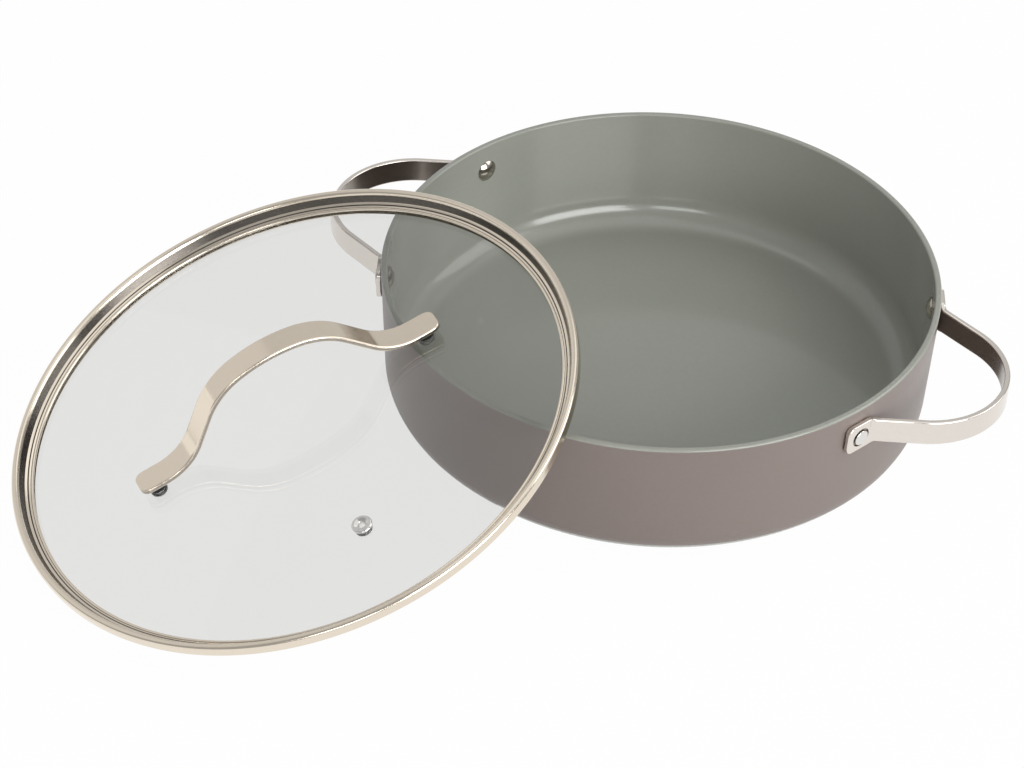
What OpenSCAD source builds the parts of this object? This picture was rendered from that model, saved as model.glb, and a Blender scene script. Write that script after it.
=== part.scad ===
// Shallow pot of pressed aluminium with two riveted strap handles, and its
// steel-rimmed glass lid, which leans on the rim with its lower edge on the table.
// The pot's handles lie along X, and the origin is the middle of its underside.

/* [Pot] */
// Outer diameter of the pot at its rim
pot_od = 304; // [270:1:340]
// Height of the rim above the table
pot_h = 76.3; // [60:0.1:110]
// Thickness of the side wall
wall_t = 3.5; // [2:0.1:5]
// Thickness of the floor
floor_t = 4.5; // [3:0.1:7]
// Angle by which the wall opens outwards
wall_taper = 2; // [0:0.1:5]
// Outer radius of the corner between wall and floor
corner_r = 20; // [12:0.5:26]
// Rounding of both edges of the rim
rim_round = 1; // [0.4:0.1:1.5]

/* [Induction plate] */
// Diameter of the steel plate under the floor
plate_d = 236; // [150:1:250]
// Thickness of the steel plate
plate_t = 0.8; // [0.4:0.1:1.5]
// Diameter of each round perforation
plate_hole_d = 5; // [3:0.5:8]
// Distance between two rings of perforations
plate_ring_pitch = 22; // [16:1:30]
// Distance between two perforations on one ring
plate_hole_pitch = 34; // [24:1:50]

/* [Side handles] */
// How far each loop stands out from the rim
handle_out = 46.5; // [38:0.5:60]
// Outer radius of the round part of the loop
loop_r = 47; // [35:0.5:55]
// Height of the strap
strap_w = 14.4; // [10:0.1:22]
// Thickness of the strap
strap_t = 3; // [2:0.1:4]
// Height of the widened pad at each end of the strap
pad_w = 17.2; // [14:0.1:24]
// Length of pad beyond the rivet
pad_tip = 9.2; // [9:0.1:16]
// Length of pad between the rivet and the bend
pad_root = 9; // [8:0.5:12]
// Size of the rounded corners of the pad
pad_corner = 4; // [1:0.5:6]
// Inner radius of the bend between pad and loop
strap_bend_r = 4; // [3:0.5:7]
// Rounding of the strap's long edges
strap_round = 0.7; // [0.3:0.1:1.2]
// Distance between the two rivets of one handle
rivet_spread = 120; // [100:1:150]
// Depth of the rivets below the rim
rivet_drop = 17; // [12:0.1:30]

/* [Rivets] */
// Diameter of the shank
rivet_d = 6; // [4:0.1:7]
// Diameter of the domed head inside the pot
rivet_dome_d = 13; // [8:0.5:15]
// Height of the domed head
rivet_dome_h = 2.6; // [1:0.1:4]
// Diameter of the flat head outside the handle
rivet_tail_d = 8.8; // [6.5:0.1:10]
// Height of the flat head above the handle
rivet_tail_h = 0.9; // [0.4:0.1:2]
// Diameter of the ring cut into the pad around the flat head
pad_recess_d = 11.2; // [10.5:0.1:12.5]
// Depth of that ring
pad_recess_depth = 0.8; // [0.3:0.1:1.5]

/* [Lid band] */
// How far the steel band overhangs the pot's rim
band_overhang = 2.9; // [2.5:0.1:6]
// Radial play between the lid's locating wall and the pot's mouth
lid_play = 1.3; // [0.6:0.1:4]
// Thickness of the band's sheet
band_t = 0.6; // [0.4:0.1:1]
// Width of the hollow bead round the lid
bead_w = 3.5; // [2.5:0.1:5]
// Height of the bead above the lid's own middle plane
bead_top = 3; // [2.5:0.1:6]
// Depth of the skirt below the middle plane
skirt_drop = 2.4; // [1:0.1:8]
// Depth of the flange's top below the middle plane, beside the bead
flange_drop = 2.9; // [2:0.1:4]
// Fall of the flange from the bead to its hem
flange_fall = 1.2; // [0.6:0.1:1.6]
// Radius of the round hem that ends the flange and holds the glass down
hem_r = 1; // [0.7:0.1:1.6]
// Width of the lip under the glass
lip_w = 1.9; // [1.2:0.1:4]

/* [Glass] */
// Thickness of the glass
glass_t = 4; // [3:0.1:6]
// Height of the crown of the glass above its edge
glass_crown = 6.1; // [2:0.1:14]
// Diameter of each hole for a handle screw
glass_hole_d = 7; // [6:0.1:9]

/* [Lid handle] */
// Distance between the two screws
lid_screw_spread = 160; // [130:1:180]
// Length of the handle from tip to tip
lid_handle_l = 177.5; // [168:0.5:200]
// Width of the strap
lid_strap_w = 15; // [12:0.1:20]
// Thickness of the strap
lid_strap_t = 3; // [2:0.1:4]
// Height of the arch above the pads
arch_h = 41; // [36:0.5:50]
// Radius of the arch's flat crown
arch_crown_r = 80; // [60:1:100]
// Angle at which the crown turns into the shoulder
arch_crown_a = 13; // [8:1:20]
// Radius of the shoulder
arch_shoulder_r = 43; // [34:0.5:46]
// Slope of the legs
arch_leg_a = 51; // [46:1:56]
// Radius of the bend from leg to pad
arch_foot_r = 29; // [16:0.5:32]
// Size of the rounded corners of the pads
lid_pad_corner = 5; // [1:0.5:6]

/* [Lid handle fasteners] */
// Diameter of the tapped steel boss under each pad
boss_d = 6; // [5.5:0.1:8]
// Diameter of the thick black washer round the boss
top_washer_d = 9.6; // [9:0.1:13]
// Thickness of the black washer, between pad and glass
top_washer_t = 4.7; // [3:0.1:7]
// Diameter of the screw
screw_d = 4; // [3:0.1:5]
// Diameter of the screw's head
screw_head_d = 7; // [6.5:0.1:8]
// Height of the screw's head
screw_head_h = 1.6; // [1.2:0.1:3]
// Diameter of the steel washer under the glass
plain_washer_d = 8.4; // [8:0.1:9.2]
// Thickness of the steel washer
plain_washer_t = 0.6; // [0.5:0.1:1.5]
// Diameter of the sealing washer under the glass
seal_d = 9.2; // [9:0.1:12]
// Thickness of the sealing washer
seal_t = 1; // [1:0.1:2.5]

/* [Steam vent] */
// Distance from the lid's middle to the vent
vent_reach = 95; // [60:1:115]
// Direction of the vent, seen from above the lid, from that of the upper screw
vent_dir = -91; // [-100:1:-80]
// Diameter of the eyelet's tube
vent_tube_d = 6; // [5:0.1:8]
// Diameter of the steam hole
vent_hole_d = 4; // [2.5:0.1:4.5]
// Diameter of the eyelet's rolled flange
vent_flange_d = 10.8; // [9:0.1:14]
// Thickness of the rolled flange
vent_roll = 1.6; // [1:0.1:2.5]
// Diameter of the washer under the glass
vent_washer_d = 9; // [8.5:0.1:15]
// Thickness of that washer
vent_washer_t = 0.8; // [0.5:0.1:1.5]

/* [Resting place] */
// Direction in which the lid leans, seen from above
lean_dir = 233.9; // [200:0.1:340]
// Turn of the lid about its own axis
lid_turn = 178; // [170:1:190]
// Play between the lid's upper sealing washer and the inside of the rim
hook_play = 1.2; // [0.4:0.1:2]

/* [Hidden] */

// Clearances: between pieces that are pressed or screwed together, between the
// flat pads and the curved wall, between glass and band, and under the leaning glass
fit_gap = 0.05;
seat_gap = 0.15;
glass_play = 0.2;
lean_gap = 0.3;
// Overrun of every cut
over = 1;
// Smoothness of turned forms, of small round forms and of the glass's flat crown
round_fn = 180;
small_fn = 48;
crown_fn = 1440;
// Steps of the bends at the pads, of the side loops, and of the arcs of the lid's handle
bend_steps = 5;
loop_steps = 13;
foot_steps = 6;
arch_steps = 4;
// Angles of the steps round a pad's corner
corner_angles = [0 : 30 : 90];

taupe = [0.56, 0.51, 0.48];
champagne = [0.80, 0.75, 0.68];
steel = [0.74, 0.74, 0.74];
black = [0.08, 0.08, 0.08];
clear = [0.86, 0.90, 0.89, 0.45];

// Pot
pot_r = pot_od / 2;
mouth_r = pot_r - wall_t;
// Outer radius of the wall at height z
function wall_r(z) = pot_r - (pot_h - z) * tan(wall_taper);
// Centres of the rounded edges of the rim
rim_out_x = pot_r - rim_round * tan(wall_taper) - rim_round / cos(wall_taper);
rim_in_x = mouth_r - rim_round * tan(wall_taper) + rim_round / cos(wall_taper);
rim_z = pot_h - rim_round;

// Half outline of a tapered vessel with a round corner, from its rim radius,
// its corner radius, its lowest height and the points that close it at the top
module vessel_outline(rim, corner, z0, top) {
    foot_x = rim - (pot_h - z0 - corner) * tan(wall_taper) - corner / cos(wall_taper);
    polygon(concat([[0, z0], [foot_x, z0],
        [foot_x + corner * cos(wall_taper), z0 + corner - corner * sin(wall_taper)]], top));
    translate([foot_x, z0 + corner]) circle(corner, $fn = round_fn);
}

module pot_outline() {
    slant = rim_round * [cos(wall_taper), -sin(wall_taper)];
    difference() {
        vessel_outline(pot_r, corner_r, 0,
            [[rim_out_x, rim_z] + slant, [rim_out_x, pot_h], [0, pot_h]]);
        vessel_outline(mouth_r, corner_r - wall_t, floor_t,
            [[rim_in_x, rim_z] - slant, [rim_in_x, pot_h], [rim_in_x, pot_h + over], [0, pot_h + over]]);
    }
    for (x = [rim_out_x, rim_in_x]) translate([x, rim_z]) circle(rim_round, $fn = small_fn);
}

module pot_body() {
    color(taupe) difference() {
        rotate_extrude($fn = round_fn) intersection() {
            pot_outline();
            square([pot_r + over, pot_h + over]);
        }
        difference() {
            translate([0, 0, -over])
                cylinder(r = plate_d / 2 + fit_gap, h = plate_t + over, $fn = round_fn);
            perforations(plate_hole_d - 2 * fit_gap, 0);
        }
        for (i = [0 : 3]) at_rivet(i) translate([0, 0, -wall_t - over])
            cylinder(d = rivet_d + 2 * fit_gap, h = wall_t + 2 * over, $fn = small_fn);
    }
}

// Steel plate pressed into the underside, with rings of round holes that the pot's
// own metal fills
module perforations(d, low) {
    rings = floor((plate_d / 2 - plate_hole_d) / plate_ring_pitch);
    for (ring = [1 : rings])
        let (r = ring * plate_ring_pitch, count = floor(2 * PI * r / plate_hole_pitch))
            for (k = [0 : count - 1]) rotate([0, 0, (k + ring / 2) * 360 / count])
                translate([r, 0, low]) cylinder(d = d, h = plate_t + over - low, $fn = small_fn);
}
module induction_base_plate() {
    color(steel) difference() {
        cylinder(d = plate_d, h = plate_t, $fn = round_fn);
        perforations(plate_hole_d, -over);
    }
}

// Rivets: 0 left front, 1 left rear, 2 right front, 3 right rear
rivet_z = pot_h - rivet_drop;
rivet_az = asin(rivet_spread / 2 / wall_r(rivet_z));
rivet_azimuths = [180 + rivet_az, 180 - rivet_az, -rivet_az, rivet_az];

// Places a child on the wall with +Z square to it, outwards
module at_rivet(i) {
    rotate([0, 0, rivet_azimuths[i]]) translate([wall_r(rivet_z), 0, rivet_z])
        rotate([0, 90 + wall_taper, 0]) children();
}

module rivet(i) {
    dome_z = -wall_t * cos(wall_taper) - seat_gap;
    dome_r = (pow(rivet_dome_d / 2, 2) + pow(rivet_dome_h, 2)) / (2 * rivet_dome_h);
    face_z = seat_gap + strap_t;
    tail_r = rivet_tail_d / 2;
    tail_z = face_z - pad_recess_depth + fit_gap;
    color(steel) at_rivet(i) rotate_extrude($fn = small_fn) {
        translate([0, dome_z]) square([rivet_d / 2, face_z - dome_z]);
        intersection() {
            translate([0, dome_z - rivet_dome_h + dome_r]) circle(dome_r, $fn = round_fn);
            translate([0, dome_z - rivet_dome_h]) square([rivet_dome_d / 2, rivet_dome_h]);
        }
        polygon([[0, tail_z], [tail_r, tail_z], [tail_r, face_z + rivet_tail_h / 2],
            [tail_r - rivet_tail_h / 2, face_z + rivet_tail_h], [0, face_z + rivet_tail_h]]);
    }
}

// A strap is swept through stations. Each station is [middle, normal, across, width]:
// the strap's thickness lies along normal and its width along across.
function strap_ring(s, t) = let (a = t / 2, b = s[3] / 2, c = strap_round)
    [for (q = [[a, b - c], [a - c, b], [c - a, b], [-a, b - c],
               [-a, c - b], [c - a, -b], [a - c, -b], [a, c - b]])
        s[0] + q[0] * s[1] + q[1] * s[2]];

module strap(stations, t) {
    n = len(stations);
    sides = 8;
    points = [for (s = stations) each strap_ring(s, t)];
    skin = [for (i = [0 : n - 2]) for (j = [0 : sides - 1])
        let (a = i * sides + j, b = i * sides + (j + 1) % sides)
            each [[a, b, a + sides], [b, b + sides, a + sides]]];
    ends = [[for (j = [sides - 1 : -1 : 0]) j], [for (j = [0 : sides - 1]) (n - 1) * sides + j]];
    polyhedron(points, concat(skin, ends));
}

// Plan of a side handle, for the half with y > 0, from the pad's tip to the loop's top
pad_out = seat_gap + strap_t / 2;
pad_mid = wall_r(rivet_z) * [cos(rivet_az), sin(rivet_az)] + pad_out * [cos(rivet_az), sin(rivet_az)];
pad_dir = [sin(rivet_az), -cos(rivet_az)];
knee = pad_mid + pad_root * pad_dir;
loop_c = [pot_r + handle_out - loop_r, 0];
loop_mid_r = loop_r - strap_t / 2;
leg_a = atan2(-knee[1], loop_c[0] - knee[0]) + asin(loop_mid_r / norm(loop_c - knee));
knee_turn = leg_a - (rivet_az - 90);
knee_r = strap_bend_r + strap_t / 2;
knee_run = knee_r * tan(knee_turn / 2);
knee_c = knee - knee_run * pad_dir + knee_r * [cos(rivet_az), sin(rivet_az)];

// Station of a side handle at plan point p, heading a, with its width and lean
function side_station(p, a, w, lean) = let (out = [-sin(a), cos(a), 0], up = [0, 0, 1])
    [[p[0], p[1], rivet_z], cos(lean) * out - sin(lean) * up, cos(lean) * up + sin(lean) * out, w];
side_half = concat(
    [for (q = corner_angles) side_station(pad_mid - (pad_tip - pad_corner * (1 - cos(q))) * pad_dir,
        rivet_az - 90, pad_w - 2 * pad_corner * (1 - sin(q)), wall_taper)],
    [for (i = [0 : bend_steps]) let (s = i / bend_steps, a = rivet_az - 90 + s * knee_turn)
        side_station(knee_c - knee_r * [-sin(a), cos(a)], a,
            pad_w + s * (strap_w - pad_w), (1 - s) * wall_taper)],
    [for (i = [0 : loop_steps]) let (a = leg_a + i / loop_steps * (-90 - leg_a))
        side_station(loop_c + loop_mid_r * [-sin(a), cos(a)], a, strap_w, 0)]);
function flip_side(s) = [[s[0][0], -s[0][1], s[0][2]], [s[1][0], -s[1][1], s[1][2]],
    [s[2][0], -s[2][1], s[2][2]], s[3]];

module side_handle(turn, rivets) {
    n = len(side_half);
    color(champagne) difference() {
        rotate([0, 0, turn])
            strap(concat(side_half, [for (i = [n - 2 : -1 : 0]) flip_side(side_half[i])]), strap_t);
        for (i = rivets) at_rivet(i) {
            translate([0, 0, -over])
                cylinder(d = rivet_d + 2 * fit_gap, h = strap_t + 2 * over, $fn = small_fn);
            translate([0, 0, seat_gap + strap_t - pad_recess_depth])
                cylinder(d = pad_recess_d, h = pad_recess_depth + over, $fn = small_fn);
        }
    }
}
module side_handle_left() side_handle(180, [0, 1]);
module side_handle_right() side_handle(0, [2, 3]);
module rivet_left_front() rivet(0);
module rivet_left_rear() rivet(1);
module rivet_right_front() rivet(2);
module rivet_right_rear() rivet(3);

// Lid, in its own frame: its axis is Z and height 0 is the middle of the bead
locate_r = mouth_r - lid_play;
band_r = pot_r + band_overhang;
hem_x = locate_r - band_t - hem_r + fit_gap;
hem_z = -flange_drop - flange_fall - band_t / 2;
glass_r = locate_r - band_t - glass_play;
glass_top = hem_z - hem_r;
lip_z = glass_top - glass_t - band_t;
crown_edge_r = hem_x - hem_r;
crown_r = (pow(crown_edge_r, 2) + pow(glass_crown, 2)) / (2 * glass_crown);
crown_z = glass_top + glass_crown - crown_r;
// Height of the glass's upper face at distance x from the lid's axis
function glass_z(x) = crown_z + sqrt(pow(crown_r, 2) - pow(x, 2));

// Distance of each screw from the lid's axis
seat_x = lid_screw_spread / 2;

// Where the lid rests: its lip stands on the table at lid_foot, its glass lies on the
// rim, and its upper sealing washer is hooked behind the rim. Each pass comes closer.
hook_x = seat_x - seal_d / 2 - hook_play;
function foot_at(a) = mouth_r + (locate_r + hook_x - pot_h * sin(a)) / cos(a);
function lean_at(a) = let (k = foot_at(a), x = rim_out_x - k,
    s = x * cos(a) - rim_z * sin(a) + locate_r,
    rise = glass_z(abs(s)) - glass_t - lip_z - rim_round - lean_gap)
    atan2(rim_z, -x) - asin(rise / norm([x, rim_z]));
function lean_after(a, passes) = passes == 0 ? a : lean_after(lean_at(a), passes - 1);
lean_a = lean_after(atan2(pot_h, pot_od), 12);
lid_foot = foot_at(lean_a);
lid_x = lid_foot - locate_r * cos(lean_a) - lip_z * sin(lean_a);
lid_z = locate_r * sin(lean_a) - lip_z * cos(lean_a);

module on_lid() {
    rotate([0, 0, lean_dir]) translate([lid_x, 0, lid_z]) rotate([0, lean_a, 0])
        rotate([0, 0, lid_turn]) children();
}
// Both screws: side 1 is uphill, over the pot, and side -1 is downhill
module at_screw(side) translate([side * seat_x, 0, 0]) children();
// Places a child on the glass at the vent, with +Z square to the glass
module at_vent() translate([0, 0, crown_z]) rotate([0, asin(vent_reach / crown_r), vent_dir])
    translate([0, 0, crown_r]) children();

// Slope of the glass at the screws, and all the space below a plane that lies on it
// there, moved down by drop
screw_slope = asin(seat_x / crown_r);
module below_glass(side, drop) at_screw(side)
    translate([0, 0, glass_z(seat_x) - drop]) rotate([0, side * screw_slope, 0])
        translate([-seal_d, -seal_d, -2 * seal_d]) cube(2 * seal_d);

module lid_glass() {
    color(clear) on_lid() difference() {
        rotate_extrude($fn = round_fn) {
            translate([crown_edge_r, glass_top - glass_t]) square([glass_r - crown_edge_r, glass_t]);
            difference() {
                intersection() {
                    translate([0, crown_z]) circle(crown_r, $fn = crown_fn);
                    translate([0, glass_top - glass_t]) square([crown_edge_r, glass_t + glass_crown + over]);
                }
                translate([0, crown_z - glass_t]) circle(crown_r, $fn = crown_fn);
            }
        }
        for (side = [-1, 1]) at_screw(side) translate([0, 0, lip_z])
            cylinder(d = glass_hole_d, h = glass_crown - 2 * lip_z, $fn = small_fn);
        at_vent() translate([0, 0, -glass_t - over])
            cylinder(d = vent_tube_d + 2 * fit_gap, h = glass_t + 2 * over, $fn = small_fn);
    }
}

// Folded sheet: hollow bead with a short skirt, flange that falls towards the glass and
// ends in a hem over it, and under it the locating wall with a lip under the glass
module lid_rim_band() {
    bead_in = band_r - bead_w;
    bead_mid = band_r - bead_w / 2;
    arc_z = bead_top - bead_w / 2;
    color(champagne) on_lid() rotate_extrude($fn = round_fn) {
        difference() {
            translate([bead_mid, arc_z]) circle(bead_w / 2, $fn = small_fn);
            translate([bead_mid, arc_z]) circle(bead_w / 2 - band_t, $fn = small_fn);
            translate([bead_in - over, arc_z - bead_w]) square([bead_w + 2 * over, bead_w]);
        }
        translate([band_r - band_t, -skirt_drop]) square([band_t, arc_z + skirt_drop]);
        translate([bead_in, -flange_drop - band_t]) square([band_t, arc_z + flange_drop + band_t]);
        polygon([[hem_x, hem_z - band_t / 2], [bead_in + band_t, -flange_drop - band_t],
            [bead_in + band_t, -flange_drop], [hem_x, hem_z + band_t / 2]]);
        translate([locate_r - band_t, lip_z]) square([band_t, hem_z + band_t / 2 - lip_z]);
        translate([locate_r - lip_w, lip_z]) square([lip_w, band_t]);
        translate([hem_x, hem_z]) circle(hem_r, $fn = small_fn);
    }
}

// Side view of the lid's handle, for the half with x > 0, from the tip to the crown:
// each station has a point of the upper face and the angle of its normal
seat_z = glass_z(seat_x) + top_washer_t;
pad_top = seat_z + lid_strap_t;
crown_c = [0, pad_top + arch_h - arch_crown_r];
shoulder_c = crown_c + (arch_crown_r - arch_shoulder_r) * [sin(arch_crown_a), cos(arch_crown_a)];
leg_top = shoulder_c + arch_shoulder_r * [sin(arch_leg_a), cos(arch_leg_a)];
leg_foot_z = pad_top + arch_foot_r * (1 - cos(arch_leg_a));
leg_foot_x = leg_top[0] + (leg_top[1] - leg_foot_z) / tan(arch_leg_a);
foot_c = [leg_foot_x + arch_foot_r * sin(arch_leg_a), pad_top + arch_foot_r];
function lid_station(p, a, w, t) =
    [[p[0] - t / 2 * sin(a), 0, p[1] - t / 2 * cos(a)], [sin(a), 0, cos(a)], [0, 1, 0], w];
function arc(c, r, a) = c + r * [sin(a), cos(a)];
lid_half = concat(
    [for (q = corner_angles) lid_station([lid_handle_l / 2 - lid_pad_corner * (1 - cos(q)), pad_top], 0,
        lid_strap_w - 2 * lid_pad_corner * (1 - sin(q)), lid_strap_t)],
    [for (i = [0 : foot_steps]) let (a = arch_leg_a * i / foot_steps)
        lid_station(arc(foot_c, -arch_foot_r, a), a, lid_strap_w, lid_strap_t)],
    [for (i = [0 : arch_steps]) let (a = arch_leg_a + i / arch_steps * (arch_crown_a - arch_leg_a))
        lid_station(arc(shoulder_c, arch_shoulder_r, a), a, lid_strap_w, lid_strap_t)],
    [for (i = [1 : arch_steps]) let (a = arch_crown_a * (1 - i / arch_steps))
        lid_station(arc(crown_c, arch_crown_r, a), a, lid_strap_w, lid_strap_t)]);
function flip_lid(s) = [[-s[0][0], s[0][1], s[0][2]], [-s[1][0], s[1][1], s[1][2]], s[2], s[3]];

module lid_handle() {
    n = len(lid_half);
    color(champagne) on_lid()
        strap(concat(lid_half, [for (i = [n - 2 : -1 : 0]) flip_lid(lid_half[i])]), lid_strap_t);
}

// Tapped boss, which reaches from the pad down to the glass, and the washer round it
boss_z = glass_z(seat_x) + fit_gap;
module boss(side) {
    color(steel) on_lid() at_screw(side) translate([0, 0, boss_z]) difference() {
        cylinder(d = boss_d, h = seat_z - boss_z, $fn = small_fn);
        translate([0, 0, -over])
            cylinder(d = screw_d + 2 * fit_gap, h = seat_z - boss_z + 2 * over, $fn = small_fn);
    }
}
module top_washer(side) {
    color(black) on_lid() difference() {
        at_screw(side) translate([0, 0, seat_z - 2 * top_washer_t])
            cylinder(d = top_washer_d, h = 2 * top_washer_t, $fn = small_fn);
        at_screw(side) translate([0, 0, seat_z - 2 * top_washer_t - over])
            cylinder(d = boss_d + 2 * fit_gap, h = 2 * (top_washer_t + over), $fn = small_fn);
        below_glass(side, -fit_gap);
    }
}

// Under the glass: sealing washer with a sleeve up through the hole, steel washer, screw
under_z = glass_z(seat_x) - glass_t;
seal_z = under_z - seal_t;
washer_z = seal_z - plain_washer_t;
module seal_washer(side) {
    color(black) on_lid() difference() {
        union() {
            intersection() {
                at_screw(side) translate([0, 0, seal_z])
                    cylinder(d = seal_d, h = 2 * seal_t, $fn = small_fn);
                below_glass(side, glass_t + fit_gap);
            }
            at_screw(side) translate([0, 0, seal_z])
                cylinder(d = glass_hole_d - 2 * fit_gap, h = seal_t + glass_t - seat_gap, $fn = small_fn);
        }
        at_screw(side) translate([0, 0, seal_z - over])
            cylinder(d = screw_d + 2 * fit_gap, h = 2 * over + seal_t + glass_t, $fn = small_fn);
    }
}
module plain_washer(side) {
    color(steel) on_lid() at_screw(side) translate([0, 0, washer_z]) difference() {
        cylinder(d = plain_washer_d, h = plain_washer_t, $fn = small_fn);
        translate([0, 0, -over])
            cylinder(d = screw_d + 2 * fit_gap, h = plain_washer_t + 2 * over, $fn = small_fn);
    }
}
module lid_screw(side) {
    slot_w = screw_d / 4;
    head_r = screw_head_d / 2;
    shank_top = seat_z - 2 * fit_gap;
    color(steel) on_lid() at_screw(side) difference() {
        rotate_extrude($fn = small_fn) polygon([[0, washer_z - screw_head_h],
            [head_r - screw_head_h / 2, washer_z - screw_head_h], [head_r, washer_z - screw_head_h / 2],
            [head_r, washer_z], [screw_d / 2, washer_z], [screw_d / 2, shank_top], [0, shank_top]]);
        for (turn = [0, 90]) rotate([0, 0, turn])
            translate([-screw_d / 2, -slot_w / 2, washer_z - screw_head_h - over])
                cube([screw_d, slot_w, screw_head_h / 2 + over]);
    }
}
module lid_handle_boss_upper() boss(1);
module lid_handle_boss_lower() boss(-1);
module lid_handle_washer_upper() top_washer(1);
module lid_handle_washer_lower() top_washer(-1);
module lid_seal_washer_upper() seal_washer(1);
module lid_seal_washer_lower() seal_washer(-1);
module lid_plain_washer_upper() plain_washer(1);
module lid_plain_washer_lower() plain_washer(-1);
module lid_screw_upper() lid_screw(1);
module lid_screw_lower() lid_screw(-1);

// Eyelet: a tube with a rolled flange on the glass, flared over a washer beneath
module vent_eyelet() {
    tube_r = vent_tube_d / 2;
    hole_r = vent_hole_d / 2;
    roll_r = vent_roll / 2;
    roll_x = vent_flange_d / 2 - roll_r;
    foot_z = -glass_t - vent_washer_t - 2 * fit_gap;
    color(steel) on_lid() at_vent() rotate_extrude($fn = small_fn) {
        translate([hole_r, foot_z - roll_r]) square([tube_r - hole_r, 2 * roll_r - foot_z]);
        translate([hole_r, foot_z - roll_r]) square([tube_r + roll_r - hole_r, roll_r]);
        translate([hole_r, fit_gap]) square([roll_x - hole_r, roll_r]);
        translate([roll_x, fit_gap + roll_r]) circle(roll_r, $fn = small_fn);
    }
}
module vent_washer() {
    color(black) on_lid() at_vent() translate([0, 0, -glass_t - vent_washer_t - fit_gap]) difference() {
        cylinder(d = vent_washer_d, h = vent_washer_t, $fn = small_fn);
        translate([0, 0, -over])
            cylinder(d = vent_tube_d + 2 * fit_gap, h = vent_washer_t + 2 * over, $fn = small_fn);
    }
}

pot_body();
induction_base_plate();
side_handle_left();
side_handle_right();
rivet_left_front();
rivet_left_rear();
rivet_right_front();
rivet_right_rear();
lid_glass();
lid_rim_band();
lid_handle();
lid_handle_boss_upper();
lid_handle_boss_lower();
lid_handle_washer_upper();
lid_handle_washer_lower();
lid_seal_washer_upper();
lid_seal_washer_lower();
lid_plain_washer_upper();
lid_plain_washer_lower();
lid_screw_upper();
lid_screw_lower();
vent_eyelet();
vent_washer();
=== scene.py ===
"""Looks of the shallow pot and its leaning glass lid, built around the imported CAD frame.

Lengths are in millimetres where no comment says otherwise, and become metres where a mesh is
placed.
"""
import math

import bmesh
import bpy
import numpy as np
from mathutils import Matrix, Vector


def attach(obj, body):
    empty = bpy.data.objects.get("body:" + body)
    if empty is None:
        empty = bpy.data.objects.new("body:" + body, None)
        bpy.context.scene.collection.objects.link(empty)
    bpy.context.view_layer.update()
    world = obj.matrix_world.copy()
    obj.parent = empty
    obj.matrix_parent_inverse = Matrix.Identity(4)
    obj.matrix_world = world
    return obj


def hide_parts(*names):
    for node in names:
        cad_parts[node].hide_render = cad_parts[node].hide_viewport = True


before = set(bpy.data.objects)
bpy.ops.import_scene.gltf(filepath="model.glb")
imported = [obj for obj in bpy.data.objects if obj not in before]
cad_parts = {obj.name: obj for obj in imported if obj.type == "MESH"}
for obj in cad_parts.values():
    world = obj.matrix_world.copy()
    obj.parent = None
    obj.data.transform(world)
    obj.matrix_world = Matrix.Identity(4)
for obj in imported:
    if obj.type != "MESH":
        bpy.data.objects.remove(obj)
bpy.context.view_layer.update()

MM = 0.001

# ---- Sizes of the CAD model ----

# Pot and its steel plate, then the play between pressed pieces and that under the side handles
POT_R, POT_H, WALL, FLOOR, TAPER = 152.0, 76.3, 3.5, 4.5, math.radians(2)
CORNER_R, RIM_ROUND = 20.0, 1.0
PLATE_R, PLATE_T, HOLE_R, RING_PITCH, HOLE_PITCH = 118.0, 0.8, 2.5, 22.0, 34.0
GAP, SEAT = 0.05, 0.15
# Side handles and their rivets
RIVET_Z, RIVET_HALF_SPREAD = 59.3, 60.0
STRAP_T, STRAP_W, PAD_W, PAD_TIP, PAD_ROOT, PAD_CORNER = 3.0, 14.4, 17.2, 9.2, 9.0, 4.0
LOOP_R, HANDLE_REACH, STRAP_BEND = 47.0, 198.5, 4.0
RIVET_R, DOME_R, DOME_H, TAIL_R, TAIL_H, RECESS_R, RECESS = 3.0, 6.5, 2.6, 4.4, 0.9, 5.6, 0.8
# Band and glass of the lid, in heights from the lid's own zero
BAND_R, LOCATE_R, BAND_T, BEAD_W, BEAD_TOP, SKIRT = 154.9, 147.2, 0.6, 3.5, 3.0, 2.4
HEM_R, HEM_X, HEM_Z, LIP_Z, LIP_W = 1.0, 145.65, -4.4, -10.0, 1.9
GLASS_R, GLASS_T, GLASS_TOP, CROWN_EDGE = 146.4, 4.0, -5.4, 144.65
CROWN_R, CROWN_Z = 1718.1, -1717.4
# Handle of the lid and what holds it
SCREW_X, LID_LENGTH, LID_STRAP_W, LID_STRAP_T, LID_CORNER = 80.0, 177.5, 15.0, 3.0, 5.0
ARCH_H, ARCH_R, ARCH_A = 41.0, 80.0, math.radians(13)
SHOULDER_R, LEG_A, FOOT_R = 43.0, math.radians(51), 29.0
BOSS_R, SPACER_R, SPACER_T = 3.0, 4.8, 4.7
SCREW_R, HEAD_R, HEAD_H, SLOT_HALF, SCREW_HOLE_R = 2.0, 3.5, 1.6, 0.5, 3.5
SEAL_R, SEAL_T, WASHER_R, WASHER_T = 4.6, 1.0, 4.2, 0.6
# Steam vent
VENT_REACH, VENT_DIR, TUBE_R, VENT_HOLE_R = 95.0, math.radians(-91), 3.0, 2.0
FLANGE_R, ROLL, VENT_WASHER_R, VENT_WASHER_T = 5.4, 1.6, 4.5, 0.8
# Lean of the lid
LEAN_DIR, LID_TURN, LEAN = math.radians(233.9), math.radians(178), math.radians(19.108)
LID_X, LID_Z = 220.56, 57.6348

# ---- Choices of the scene ----

# Foot of the groove's wall, which leans inwards, and the fine seam beside the hem
GROOVE_FOOT = (149.4, -2.6)
SEAM_R, SEAM_HALF, SEAM_DEPTH = 147.65, 0.4, 0.3
# Rounding of the straps' long edges, its least radius, and the share of it that their tips lose
STRAP_EDGE, LEAST_EDGE, TIP_INSET = 0.75, 0.02, 0.96
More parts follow.
